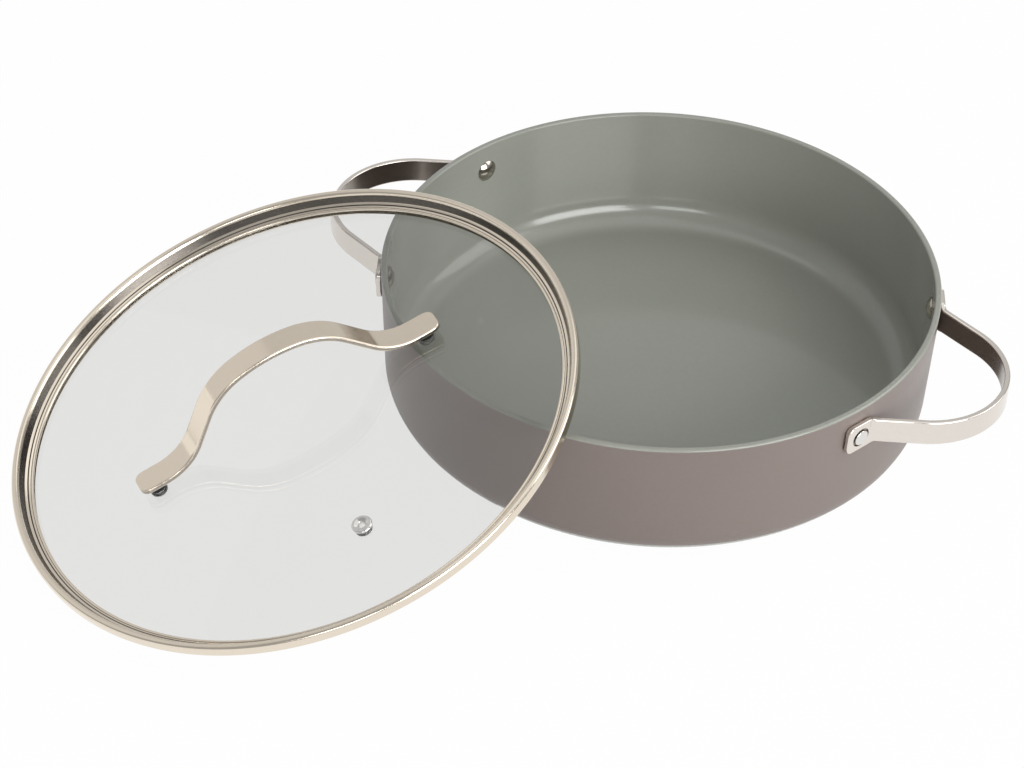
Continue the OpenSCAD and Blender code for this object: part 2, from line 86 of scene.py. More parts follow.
# Faces round each turned piece, and steps along arcs
POT_TURNS, BAND_TURNS, GLASS_TURNS, HOLE_TURNS, SMALL_TURNS, STUD_TURNS = 288, 360, 256, 48, 64, 32
POT_STEPS, DOME_STEPS, KNEE_STEPS, LOOP_STEPS = 14, 12, 12, 48
HEM_STEPS, CROWN_STEPS, FOOT_STEPS, ARCH_STEPS = 24, 24, 20, 12
# Reach of a cutter past what it cuts, and both ends of the cutters that go through the glass
OVER = 1.0
SCREW_CUT, VENT_CUT = (-12, 4), (-6, 2)
# Longest share of an edge that a round corner takes, then how far a support point stands from
# its arc, as a share of the radius and at most of the room, and which of them are too near
CORNER_SHARE, SUPPORT, SUPPORT_ROOM, LEAST_SUPPORT, LONGEST_SUPPORT = 0.48, 0.5, 0.3, 0.02, 0.4
# Points this near to each other, to a strap's faces or to the axis count as being there
MERGE, NEAR, ON_AXIS = 1e-7, 0.01, 1e-6
# The same after a boolean cut, for points and for short edges, in metres
CUT_MERGE, CUT_SHORT = 2e-6, 1e-6
# Faces that meet at more than this angle keep a sharp edge
SHARP = math.radians(35)


# ---- Meshes ----

def rounded(corners, steps=5, shut=True):
    """Outline through corners (x, y, radius), with an arc at each and a support point beside it."""
    count = len(corners)
    arcs = []
    for i, (x, y, r) in enumerate(corners):
        here = Vector((x, y))
        back = Vector(corners[i - 1][:2]) - here
        on = Vector(corners[(i + 1) % count][:2]) - here
        if r <= 0 or (not shut and i in (0, count - 1)):
            arcs.append((here, back, on, 0.0, 0.0))
            continue
        half = back.angle(on) / 2
        run = min(r / math.tan(half), CORNER_SHARE * min(back.length, on.length))
        arcs.append((here, back, on, half, run))
    out = []
    for i, (here, back, on, half, run) in enumerate(arcs):
        if not run:
            out.append(tuple(here))
            continue
        r = run * math.tan(half)
        room_back = back.length - run - arcs[i - 1][4]
        room_on = on.length - run - arcs[(i + 1) % count][4]
        back, on = back.normalized(), on.normalized()
        middle = here + (back + on).normalized() * (r / math.sin(half))
        a, b = here + back * run - middle, here + on * run - middle
        turn = math.atan2(a.x * b.y - a.y * b.x, a.dot(b))
        near = min(SUPPORT * r, SUPPORT_ROOM * room_back)
        far = min(SUPPORT * r, SUPPORT_ROOM * room_on)
        if near > LEAST_SUPPORT:
            out.append(tuple(here + back * (run + near)))
        for k in range(steps + 1):
            c, s = math.cos(turn * k / steps), math.sin(turn * k / steps)
            out.append((middle.x + c * a.x - s * a.y, middle.y + s * a.x + c * a.y))
        if far > LEAST_SUPPORT:
            out.append(tuple(here + on * (run + far)))
    return out


def ribbon(path, thickness):
    """Closed outline of a sheet that follows a path, with square ends."""
    p = np.array(path)
    step = np.diff(p, axis=0)
    step /= np.linalg.norm(step, axis=1)[:, None]
    along = np.vstack([step[:1], step[:-1] + step[1:], step[-1:]])
    along /= np.linalg.norm(along, axis=1)[:, None]
    aside = np.stack([-along[:, 1], along[:, 0]], 1)
    step_aside = np.stack([-step[1:, 1], step[1:, 0]], 1)
    # The offset grows at a corner, at most to twice, so that the sheet keeps its thickness
    miter = np.ones(len(p))
    miter[1:-1] = 1 / np.maximum(0.5, np.einsum("ij,ij->i", aside[1:-1], step_aside))
    off = aside * (miter * thickness / 2)[:, None]
    return [tuple(q) for q in (p + off)] + [tuple(q) for q in (p - off)[::-1]]


def mesh_object(name, verts, faces, materials, indices=None):
    """Object with a mesh whose double points are merged and whose normals point outwards."""
    mesh = bpy.data.meshes.new(name)
    mesh.from_pydata([tuple(v) for v in verts], [], faces)
    for m in materials:
        mesh.materials.append(m)
    if indices is not None:
        mesh.polygons.foreach_set("material_index", indices)
    bm = bmesh.new()
    bm.from_mesh(mesh)
    bmesh.ops.remove_doubles(bm, verts=bm.verts, dist=MERGE)
    bmesh.ops.recalc_face_normals(bm, faces=bm.faces)
    bm.to_mesh(mesh)
    bm.free()
    ob = bpy.data.objects.new(name, mesh)
    bpy.context.scene.collection.objects.link(ob)
    return ob


def revolve(name, outlines, count, materials, place=None, pick=None, warp=None):
    """Turns closed outlines (r, z) about Z, then places them.

    pick gives the material of the faces at the middle (r, z) of an edge, and warp moves points.
    """
    verts, faces, indices = [], [], []
    turns = [(math.cos(2 * math.pi * k / count), math.sin(2 * math.pi * k / count))
             for k in range(count)]
    for outline in outlines:
        rings = []
        for r, z in outline:
            if r < ON_AXIS:
                rings.append([len(verts)])
                verts.append((0.0, 0.0, z))
            else:
                rings.append(list(range(len(verts), len(verts) + count)))
                verts += [(r * c, r * s, z) for c, s in turns]
        for i, ring in enumerate(rings):
            j = (i + 1) % len(rings)
            after = rings[j]
            if len(ring) == 1 and len(after) == 1:
                continue
            middle = [(outline[i][k] + outline[j][k]) / 2 for k in (0, 1)]
            index = pick(*middle) if pick else 0
            for k in range(count):
                n = (k + 1) % count
                if len(ring) == 1:
                    faces.append((ring[0], after[n], after[k]))
                elif len(after) == 1:
                    faces.append((ring[k], ring[n], after[0]))
                else:
                    faces.append((ring[k], ring[n], after[n], after[k]))
                indices.append(index)
    if warp:
        verts = [warp(*v) for v in verts]
    ob = mesh_object(name, verts, faces, materials, indices)
    ob.data.transform(Matrix.Scale(MM, 4) @ (place or Matrix.Identity(4)))
    return ob


def strap_section(a, b, r, steps=4):
    """Rectangle of half sizes a and b, with round corners and support points.

    It has the same number of points whatever its size.
    """
    out = []
    for quarter, (x, y) in enumerate(((a - r, b - r), (r - a, b - r),
                                      (r - a, r - b), (a - r, r - b))):
        arc = [(x + r * math.cos(t), y + r * math.sin(t))
               for t in [(quarter + k / steps) * math.pi / 2 for k in range(steps + 1)]]
        flat_in, flat_out = (b - r, a - r) if quarter % 2 == 0 else (a - r, b - r)
        t = quarter * math.pi / 2
        near = min(LONGEST_SUPPORT, SUPPORT_ROOM * flat_in)
        far = min(LONGEST_SUPPORT, SUPPORT_ROOM * flat_out)
        out.append((arc[0][0] + near * math.sin(t), arc[0][1] - near * math.cos(t)))
        out += arc
        out.append((arc[-1][0] - far * math.cos(t), arc[-1][1] - far * math.sin(t)))
    return out


def sweep(name, stations, thickness, edge, materials, place=None, dark_sides=False):
    """Strap through stations (middle, normal, across, width, inset).

    Its back, and with dark_sides its sides too, has the last material, a darker steel that paints
    shade there.
    """
    verts, faces, indices = [], [], []
    for middle, normal, across, width, inset in stations:
        section = strap_section(thickness / 2 - inset, width / 2 - inset,
                                max(edge - inset, LEAST_EDGE))
        verts += [middle + normal * x + across * y for x, y in section]
    # A plain section tells which edges lie on the back and on the sides
    plain = strap_section(thickness / 2, thickness, edge)
    size, rows = len(plain), len(stations)
    for i in range(rows - 1):
        for j in range(size):
            k = (j + 1) % size
            faces.append((i * size + j, i * size + k, (i + 1) * size + k, (i + 1) * size + j))
            back = max(plain[j][0], plain[k][0]) < NEAR - thickness / 2
            side = min(abs(plain[j][1]), abs(plain[k][1])) > thickness - NEAR
            indices.append(len(materials) - 1 if back or side and dark_sides else 0)
    faces += [tuple(range(size)), tuple(range((rows - 1) * size, rows * size))]
    ob = mesh_object(name, verts, faces, materials, indices + [0, 0])
    ob.data.transform(Matrix.Scale(MM, 4) @ (place or Matrix.Identity(4)))
    return ob


def carve(ob, tools, operation="DIFFERENCE"):
    """Applies boolean cutters to a piece and deletes them."""
    for tool in tools:
        cut = ob.modifiers.new("cut", "BOOLEAN")
        cut.object, cut.operation, cut.solver = tool, operation, "EXACT"
    bpy.context.view_layer.update()
    evaluated = ob.evaluated_get(bpy.context.evaluated_depsgraph_get())
    mesh = bpy.data.meshes.new_from_object(evaluated)
    ob.modifiers.clear()
    bm = bmesh.new()
    bm.from_mesh(mesh)
    bmesh.ops.remove_doubles(bm, verts=bm.verts, dist=CUT_MERGE)
    bmesh.ops.dissolve_degenerate(bm, edges=bm.edges, dist=CUT_SHORT)
    bm.to_mesh(mesh)
    bm.free()
    ob.data = mesh
    for tool in tools:
        bpy.data.objects.remove(tool)


def disc(name, radius, low, high, place, count=SMALL_TURNS):
    """Plain cylinder that serves as a cutter."""
    return revolve(name, [[(0, low), (radius, low), (radius, high), (0, high)]], count, [], place)


def fit(ob, body, slot, *nodes):
    """Smooth shading, then the piece rides on its body and stands for its CAD nodes."""
    ob.data.polygons.foreach_set("use_smooth", [True] * len(ob.data.polygons))
    ob.data.set_sharp_from_angle(angle=SHARP)
    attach(ob, body)
    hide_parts(*nodes)


# ---- Materials ----

# Range of the sum of the two noises, and the colour sockets of a Mix node
NOISE_LOW, NOISE_HIGH = 0.7, 1.3
MIX_A, MIX_B, MIX_RESULT = 6, 7, 2


def material(name, colour, roughness, metallic=0.0, spread=0.03, grain=400.0, bump=0.0,
             bump_scale=900.0, stretch=(1, 1, 1), roughness_spread=0.04, **sockets):
    """Principled material whose colour and roughness drift a little.

    Its surface is finely uneven, by bump in metres. Other sockets go by their names.
    """
    mat = bpy.data.materials.new(name)
    mat.use_nodes = True
    tree = mat.node_tree
    shader = tree.nodes["Principled BSDF"]

    def node(kind, **values):
        n = tree.nodes.new(kind)
        for key, value in values.items():
            if hasattr(n, key):
                setattr(n, key, value)
            else:
                n.inputs[key.replace("_", " ").title()].default_value = value
        return n

    where = node("ShaderNodeTexCoord")
    scale = node("ShaderNodeMapping")
    scale.inputs["Scale"].default_value = stretch
    tree.links.new(where.outputs["Object"], scale.inputs["Vector"])
    drift = node("ShaderNodeTexNoise", scale=14.0, detail=4.0, roughness=0.6)
    fine = node("ShaderNodeTexNoise", scale=grain, detail=3.0, roughness=0.6)
    for n in (drift, fine):
        tree.links.new(scale.outputs["Vector"], n.inputs["Vector"])
    both = node("ShaderNodeMath", operation="ADD")
    tree.links.new(drift.outputs["Fac"], both.inputs[0])
    tree.links.new(fine.outputs["Fac"], both.inputs[1])
    tint = node("ShaderNodeMapRange", from_min=NOISE_LOW, from_max=NOISE_HIGH)
    tree.links.new(both.outputs[0], tint.inputs["Value"])
    mix = node("ShaderNodeMix", data_type="RGBA")
    for socket, share in ((MIX_A, 1 - spread), (MIX_B, 1 + spread)):
        mix.inputs[socket].default_value = [min(1.0, c * share) for c in colour] + [1.0]
    tree.links.new(tint.outputs["Result"], mix.inputs[0])
    tree.links.new(mix.outputs[MIX_RESULT], shader.inputs["Base Color"])
    rough = node("ShaderNodeMapRange", from_min=NOISE_LOW, from_max=NOISE_HIGH,
                 to_min=max(0.0, roughness - roughness_spread),
                 to_max=roughness + roughness_spread)
    tree.links.new(both.outputs[0], rough.inputs["Value"])
    tree.links.new(rough.outputs["Result"], shader.inputs["Roughness"])
    if bump:
        waves = node("ShaderNodeTexNoise", scale=bump_scale, detail=2.0, roughness=0.5)
        tree.links.new(scale.outputs["Vector"], waves.inputs["Vector"])
        relief = node("ShaderNodeBump", strength=1.0, distance=bump)
        tree.links.new(waves.outputs["Fac"], relief.inputs["Height"])
        tree.links.new(relief.outputs["Normal"], shader.inputs["Normal"])
    shader.inputs["Metallic"].default_value = metallic
    for key, value in sockets.items():
        shader.inputs[key.replace("_", " ")].default_value = value
    return mat


def steel(name, colour, roughness, spread=0.02, bump=1.5e-6, bump_scale=300.0, **more):
    """Metal with a fine, almost even surface."""
    return material(name, colour, roughness, metallic=1.0, spread=spread, bump=bump,
                    bump_scale=bump_scale, **more)


def glass_material():
    """Clear glass that lets lamps through."""
    mat = material("tempered_glass", (0.785, 0.785, 0.775), 0.0, spread=0.004, grain=60.0,
                   roughness_spread=0.004, Transmission_Weight=1.0, IOR=1.5)
    tree = mat.node_tree
    path = tree.nodes.new("ShaderNodeLightPath")
    clear = tree.nodes.new("ShaderNodeBsdfTransparent")
    clear.inputs["Color"].default_value = (0.80, 0.80, 0.79, 1)
    mix = tree.nodes.new("ShaderNodeMixShader")
    tree.links.new(path.outputs["Is Shadow Ray"], mix.inputs[0])
    tree.links.new(tree.nodes["Principled BSDF"].outputs[0], mix.inputs[1])
    tree.links.new(clear.outputs[0], mix.inputs[2])
    tree.links.new(mix.outputs[0], tree.nodes["Material Output"].inputs["Surface"])
    return mat


# Pot
enamel = material("taupe_enamel", (0.185, 0.150, 0.135), 0.36, bump=1.2e-5, bump_scale=700.0)
ceramic = material("grey_ceramic", (0.266, 0.275, 0.240), 0.2, spread=0.025, bump=4e-6,
                   bump_scale=500.0, Coat_Weight=0.4, Coat_Roughness=0.08)
bare = material("bare_aluminium", (0.72, 0.71, 0.69), 0.3, metallic=1.0, bump=8e-6)
# Tinted steel of the lid's handle, of the side handles and of the band, and darker copies of it that
# paint shade onto some faces
champagne = steel("champagne_steel", (0.80, 0.705, 0.585), 0.14)
pale_champagne = steel("pale_champagne_steel", (0.77, 0.715, 0.66), 0.14)
# Painted shade on the side handles' backs and in the rings cut round the rivet heads
shaded_steel = steel("shaded_steel", (0.26, 0.230, 0.200), 0.2, spread=0.04, bump=2e-6)
# Painted shade and painted dark reflection in the band's groove, in its seam and under its hem
groove_shade_steel = steel("groove_shade_steel", (0.115, 0.104, 0.092), 0.24, spread=0.04, bump=6e-7)
# Painted shade and painted dark reflection on the lid handle's underside and sides and on the rivet
# domes inside the pot
half_shade_steel = steel("half_shade_steel", (0.46, 0.42, 0.37), 0.14, spread=0.03, bump=1e-6)
band_steel = steel("band_steel", (0.80, 0.715, 0.60), 0.16, bump=6e-7)
# Small parts, the plate and the glass
chrome = steel("polished_steel", (0.74, 0.73, 0.71), 0.12)
brushed = steel("brushed_plate", (0.62, 0.61, 0.59), 0.32, spread=0.04, bump=6e-6,
                bump_scale=250.0, stretch=(1, 18, 1))
satin = steel("satin_steel", (0.74, 0.73, 0.71), 0.32, bump=2e-6)
silicone = material("black_silicone", (0.008, 0.008, 0.008), 0.5, spread=0.15, bump=1e-5,
                    Specular_IOR_Level=0.2)
pale_silicone = material("pale_silicone", (0.45, 0.45, 0.44), 0.4, spread=0.04, bump=6e-6,
                         Transmission_Weight=0.7, IOR=1.41)
glass = glass_material()


# ---- Placing ----

def turn_z(a):
    return Matrix.Rotation(a, 4, "Z")


def turn_y(a):
    return Matrix.Rotation(a, 4, "Y")


def shift(x, y, z):
    return Matrix.Translation((x, y, z))


def wall_r(z):
    """Radius of the pot's outer wall at height z."""
    return POT_R - (POT_H - z) * math.tan(TAPER)


def glass_z(x):
    """Height of the glass's upper face at distance x from the lid's axis."""
    return CROWN_Z + math.sqrt(CROWN_R ** 2 - x * x)


LID = turn_z(LEAN_DIR) @ shift(LID_X, 0, LID_Z) @ turn_y(LEAN) @ turn_z(LID_TURN)
RIVET_AZ = math.asin(RIVET_HALF_SPREAD / wall_r(RIVET_Z))
RIVETS = {"rivet_left_front": math.pi + RIVET_AZ, "rivet_left_rear": math.pi - RIVET_AZ,
          "rivet_right_front": -RIVET_AZ, "rivet_right_rear": RIVET_AZ}


def at_rivet(azimuth):
    """Frame on the outer wall, with +Z square to it and outwards."""
    return turn_z(azimuth) @ shift(wall_r(RIVET_Z), 0, RIVET_Z) @ turn_y(math.pi / 2 + TAPER)


# ---- Pot ----

POT_LOOKS = [enamel, ceramic, bare]
OUTSIDE, INSIDE, RECESSED = range(len(POT_LOOKS))


def pot_look(r, z):
    """Index into POT_LOOKS of a face. The recess of the steel plate is bare, up to its edge."""
    if r < PLATE_R + 1 and z < PLATE_T + 0.1:
        return RECESSED
    lined = z > POT_H - RIM_ROUND or r < wall_r(z) - WALL / 2 and z > FLOOR / 2
    return INSIDE if lined else OUTSIDE


outer_foot, inner_foot = wall_r(0), POT_R - WALL - (POT_H - FLOOR) * math.tan(TAPER)
pot_section = rounded([
    (0, PLATE_T, 0), (PLATE_R + GAP, PLATE_T, 0), (PLATE_R + GAP, 0, 0.3),
    (outer_foot, 0, CORNER_R), (POT_R, POT_H, RIM_ROUND), (POT_R - WALL, POT_H, RIM_ROUND),
    (inner_foot, FLOOR, CORNER_R - WALL), (0, FLOOR, 0)], steps=POT_STEPS)
pot = revolve("pot_shell", [pot_section], POT_TURNS, POT_LOOKS, pick=pot_look)
carve(pot, [disc("hole", RIVET_R + GAP, -WALL - OVER, OVER, at_rivet(a)) for a in RIVETS.values()])

# The pot's own metal fills the perforations of the steel plate
stud_top = PLATE_T + 0.3
stud_section = rounded([(0, 0, 0), (HOLE_R - GAP, 0, 0.15), (HOLE_R - GAP, stud_top, 0),
                        (0, stud_top, 0)], 3)
studs = []
for ring in range(1, int((PLATE_R - 2 * HOLE_R) / RING_PITCH) + 1):
    count = int(2 * math.pi * ring * RING_PITCH / HOLE_PITCH)
    for k in range(count):
        place = turn_z((k + ring / 2) * 2 * math.pi / count) @ shift(ring * RING_PITCH, 0, 0)
        studs.append(revolve("stud", [stud_section], STUD_TURNS, POT_LOOKS, place,
                             pick=lambda r, z: RECESSED))
with bpy.context.temp_override(active_object=studs[0], selected_editable_objects=studs):
    bpy.ops.object.join()
carve(pot, [studs[0]], "UNION")
fit(pot, "pot", "coated_aluminium", "pot_body")

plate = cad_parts["induction_base_plate"].data
plate.materials.clear()
plate.materials.append(brushed)

# ---- Rivets, in heights above the outer wall ----

dome_z, face_z = -WALL * math.cos(TAPER) - SEAT, SEAT + STRAP_T
dome_ball = (DOME_R ** 2 + DOME_H ** 2) / (2 * DOME_H)
dome_edge = math.asin(DOME_R / dome_ball)
dome = []
for k in range(DOME_STEPS):
    a = dome_edge * k / DOME_STEPS
    dome.append((dome_ball * math.sin(a), dome_z - DOME_H + dome_ball * (1 - math.cos(a))))
dome += [(DOME_R - 0.1, dome_z - 0.06), (DOME_R - 0.15, dome_z)]
tail = face_z - RECESS + GAP
shank = rounded([(DOME_R - 0.15, dome_z, 0), (RIVET_R, dome_z, 0), (RIVET_R, tail, 0),
                 (TAIL_R, tail, 0), (TAIL_R, face_z + TAIL_H, 0.5), (0, face_z + TAIL_H, 0)],
                4, shut=False)
# The dome faces inside the pot, below z = 0, take the darker steel: painted shade and painted dark
# reflection
for name, azimuth in RIVETS.items():
    rivet = revolve(name + "_turned", [dome + shank[1:]], SMALL_TURNS, [chrome, half_shade_steel],
                    at_rivet(azimuth), pick=lambda r, z: 1 if z < 0 else 0)
    fit(rivet, "pot", "polished_steel", name)

# ---- Side handles ----

# Plan of the handle at +X, for its half with y > 0: pad, knee, leg and loop
PAD_OUT = SEAT + STRAP_T / 2
OUT = Vector((math.cos(RIVET_AZ), math.sin(RIVET_AZ)))
PAD_MID = (wall_r(RIVET_Z) + PAD_OUT) * OUT
PAD_DIR = Vector((OUT.y, -OUT.x))
PAD_A = RIVET_AZ - math.pi / 2
KNEE = PAD_MID + PAD_ROOT * PAD_DIR
LOOP_C = Vector((HANDLE_REACH - LOOP_R, 0))
LOOP_MID = LOOP_R - STRAP_T / 2
to_loop = LOOP_C - KNEE
LEG = math.atan2(to_loop.y, to_loop.x) + math.asin(LOOP_MID / to_loop.length)
KNEE_TURN = LEG - PAD_A
KNEE_R = STRAP_BEND + STRAP_T / 2
KNEE_C = KNEE - KNEE_R * math.tan(KNEE_TURN / 2) * PAD_DIR + KNEE_R * OUT


def aside(a):
    return Vector((-math.sin(a), math.cos(a)))


def side_station(p, a, width, lean, inset=0.0):
    out, up = aside(a).to_3d(), Vector((0, 0, 1))
    return (Vector((p.x, p.y, RIVET_Z)), math.cos(lean) * out - math.sin(lean) * up,
            math.cos(lean) * up + math.sin(lean) * out, width, inset)


def tip_steps(corner, edge):
    """(distance from the tip, width lost to the round corners, inset of the round edge)."""
    out = []
    for s in (0.0, 0.06, 0.2, 0.42, edge, 1.1, 1.6, 2.2, 2.9, corner):
        lost = corner - math.sqrt(max(0.0, corner ** 2 - (corner - min(s, corner)) ** 2))
        inset = edge - math.sqrt(max(0.0, edge ** 2 - (edge - min(s, edge)) ** 2))
        out.append((s, 2 * lost, inset * TIP_INSET))
    return out


def mirrored(half, flip):
    """A half strap and its mirror image, which leaves out the station in the middle."""
    return half + [(flip(middle), flip(normal), flip(across), width, inset)
                   for middle, normal, across, width, inset in half[-2::-1]]


def flip_x(v):
    return Vector((-v.x, v.y, v.z))


def flip_y(v):
    return Vector((v.x, -v.y, v.z))


half = [side_station(PAD_MID - (PAD_TIP - s) * PAD_DIR, PAD_A, PAD_W - lost, TAPER, inset)
        for s, lost, inset in tip_steps(PAD_CORNER, STRAP_EDGE)]
half += [side_station(PAD_MID - x * PAD_DIR, PAD_A, PAD_W, TAPER) for x in (4.0, 0.0, -2.0, -4.0)]
for k in range(KNEE_STEPS + 1):
    a = PAD_A + KNEE_TURN * k / KNEE_STEPS
    ease = k / KNEE_STEPS
    half.append(side_station(KNEE_C - KNEE_R * aside(a), a, PAD_W + (STRAP_W - PAD_W) * ease,
                             (1 - ease) * TAPER))
leg_end = LOOP_C + LOOP_MID * aside(LEG) - Vector((math.cos(LEG), math.sin(LEG)))
half.append(side_station(leg_end, LEG, STRAP_W, 0))
for k in range(LOOP_STEPS + 1):
    a = LEG + (-math.pi / 2 - LEG) * k / LOOP_STEPS
    half.append(side_station(LOOP_C + LOOP_MID * aside(a), a, STRAP_W, 0))
side_stations = mirrored(half, flip_y)

# Hole for the rivet's shank, with the wider ring that is cut around its flat head
step_z, hole_top = SEAT + STRAP_T - RECESS, STRAP_T + 3 * OVER
stepped_hole = [(0, -OVER), (RIVET_R + GAP, -OVER), (RIVET_R + GAP, step_z), (RECESS_R, step_z),
                (RECESS_R, hole_top), (0, hole_top)]
# The strap's back, which faces the pot, and the faces the stepped holes cut take the darker steel:
# painted shade
STRAP_LOOKS = [pale_champagne, shaded_steel]
for side, turn in (("left", math.pi), ("right", 0.0)):
    strap = sweep("handle_strap_" + side, side_stations, STRAP_T, STRAP_EDGE, STRAP_LOOKS,
                  turn_z(turn))
    carve(strap, [revolve("stepped_hole", [stepped_hole], SMALL_TURNS, STRAP_LOOKS,
                          at_rivet(RIVETS["rivet_" + side + end]), pick=lambda r, z: 1)
                  for end in ("_front", "_rear")])
    fit(strap, "pot", "champagne_steel", "side_handle_" + side)

# ---- Band and glass of the lid ----

half_t = BAND_T / 2
bead_r = BEAD_W / 2 - half_t


def flange_z(r):
    """Height of the flange's middle at radius r."""
    return HEM_Z + (r - HEM_X) * (GROOVE_FOOT[1] - HEM_Z) / (GROOVE_FOOT[0] - HEM_X)


def band_look(r, z):
    """1, which paints shade and dark reflection, on the faces that look into the groove, in the seam
    and under the hem; 0 elsewhere.
    """
    # The tenths of a millimetre let in the thickness of the sheet and its round corners
    in_groove = (GROOVE_FOOT[0] - 0.4 < r < BAND_R - BEAD_W + 0.1
                 and z < BEAD_TOP - BEAD_W / 2)
    in_seam = abs(r - SEAM_R) < 0.3 and z > flange_z(r) - 0.2
    under_hem = r < HEM_X + HEM_R and GLASS_TOP - 0.1 < z < HEM_Z - 0.3
    return 1 if in_groove or in_seam or under_hem else 0


seam = [(SEAM_R + step, flange_z(SEAM_R + step) - dip, 0)
        for step, dip in ((SEAM_HALF, 0), (0, SEAM_DEPTH), (-SEAM_HALF, 0))]
sheet_path = rounded([
    (BAND_R - half_t, -SKIRT, 0), (BAND_R - half_t, BEAD_TOP - half_t, bead_r),
    (BAND_R - BEAD_W + half_t, BEAD_TOP - half_t, bead_r), GROOVE_FOOT + (0.5,), *seam,
    (HEM_X, HEM_Z, 0)], 8, shut=False)
wall_path = rounded([(LOCATE_R - half_t, HEM_Z + half_t, 0), (LOCATE_R - half_t, LIP_Z + half_t, 0.5),
                     (LOCATE_R - LIP_W, LIP_Z + half_t, 0)], 8, shut=False)
hem = []
for k in range(HEM_STEPS):
    a = 2 * math.pi * k / HEM_STEPS
    hem.append((HEM_X + HEM_R * math.cos(a), HEM_Z + HEM_R * math.sin(a)))
band = revolve("lid_band_folded", [ribbon(sheet_path, BAND_T), ribbon(wall_path, BAND_T), hem],
               BAND_TURNS, [band_steel, groove_shade_steel], LID, band_look)
fit(band, "lid", "champagne_steel", "lid_rim_band")

crown = [(CROWN_EDGE * k / CROWN_STEPS, glass_z(CROWN_EDGE * k / CROWN_STEPS))
         for k in range(CROWN_STEPS, -1, -1)]
under = [(x, z - GLASS_T) for x, z in crown[::-1]]
glass_rim = rounded([(CROWN_EDGE, GLASS_TOP - GLASS_T, 0), (GLASS_R, GLASS_TOP - GLASS_T, 0.8),
                     (GLASS_R, GLASS_TOP, 0.8), (CROWN_EDGE, GLASS_TOP, 0)], 5, shut=False)
pane = revolve("lid_glass_pane", [under + glass_rim[1:-1] + crown], GLASS_TURNS, [glass], LID)
vent_place = (LID @ shift(0, 0, CROWN_Z) @ turn_z(VENT_DIR)
              @ turn_y(math.asin(VENT_REACH / CROWN_R)) @ shift(0, 0, CROWN_R))
at_screw = {side: LID @ shift(side * SCREW_X, 0, 0) for side in (1, -1)}
holes = [disc("hole", SCREW_HOLE_R, *SCREW_CUT, at_screw[side], HOLE_TURNS) for side in (1, -1)]
holes.append(disc("hole", TUBE_R + GAP, *VENT_CUT, vent_place, HOLE_TURNS))
carve(pane, holes)
fit(pane, "lid", "clear_glass", "lid_glass")

# ---- Handle of the lid ----

# Centres and tangent points of its arcs, for the half with x > 0, on its upper face
glass_top = glass_z(SCREW_X)
seat_z = glass_top + SPACER_T
pad_top = seat_z + LID_STRAP_T


def spoke(a):
    return Vector((math.sin(a), math.cos(a)))


crown_c = Vector((0, pad_top + ARCH_H - ARCH_R))
shoulder_c = crown_c + (ARCH_R - SHOULDER_R) * spoke(ARCH_A)
leg_top = shoulder_c + SHOULDER_R * spoke(LEG_A)
foot_top = pad_top + FOOT_R * (1 - math.cos(LEG_A))
foot_x = leg_top.x + (leg_top.y - foot_top) / math.tan(LEG_A) + FOOT_R * math.sin(LEG_A)
foot_c = Vector((foot_x, pad_top + FOOT_R))


def lid_station(p, a, width=LID_STRAP_W, inset=0.0):
    normal = Vector((math.sin(a), 0, math.cos(a)))
    middle = Vector((p.x, 0, p.y)) - normal * LID_STRAP_T / 2
    return (middle, normal, Vector((0, 1, 0)), width, inset)


half = [lid_station(Vector((LID_LENGTH / 2 - s, pad_top)), 0, LID_STRAP_W - lost, inset)
        for s, lost, inset in tip_steps(LID_CORNER, STRAP_EDGE)]
half.append(lid_station(Vector((foot_c.x + 1, pad_top)), 0))
for k in range(FOOT_STEPS + 1):
    a = LEG_A * k / FOOT_STEPS
    half.append(lid_station(foot_c - FOOT_R * spoke(a), a))
for k in range(ARCH_STEPS + 1):
    a = LEG_A + (ARCH_A - LEG_A) * k / ARCH_STEPS
    half.append(lid_station(shoulder_c + SHOULDER_R * spoke(a), a))
for k in range(1, ARCH_STEPS + 1):
    a = ARCH_A * (1 - k / ARCH_STEPS)
    half.append(lid_station(crown_c + ARCH_R * spoke(a), a))
# Its underside and its sides take the darker steel: painted shade and painted dark reflection
arch = sweep("lid_handle_strap", mirrored(half, flip_x), LID_STRAP_T, STRAP_EDGE,
             [champagne, half_shade_steel], LID, dark_sides=True)
fit(arch, "lid", "champagne_steel", "lid_handle")

# ---- Fasteners of the lid's handle, in heights along the screw's axis ----

under_z = glass_top - GLASS_T
seal_z = under_z - SEAL_T
washer_z = seal_z - WASHER_T
shank_top = seat_z - 2 * GAP
bore = SCREW_R + GAP
slope = math.tan(math.asin(SCREW_X / CROWN_R))


def washer_ring(inner, outer, low, high, edge):
    return rounded([(inner, low, 0), (outer, low, edge), (outer, high, edge), (inner, high, 0)], 4)


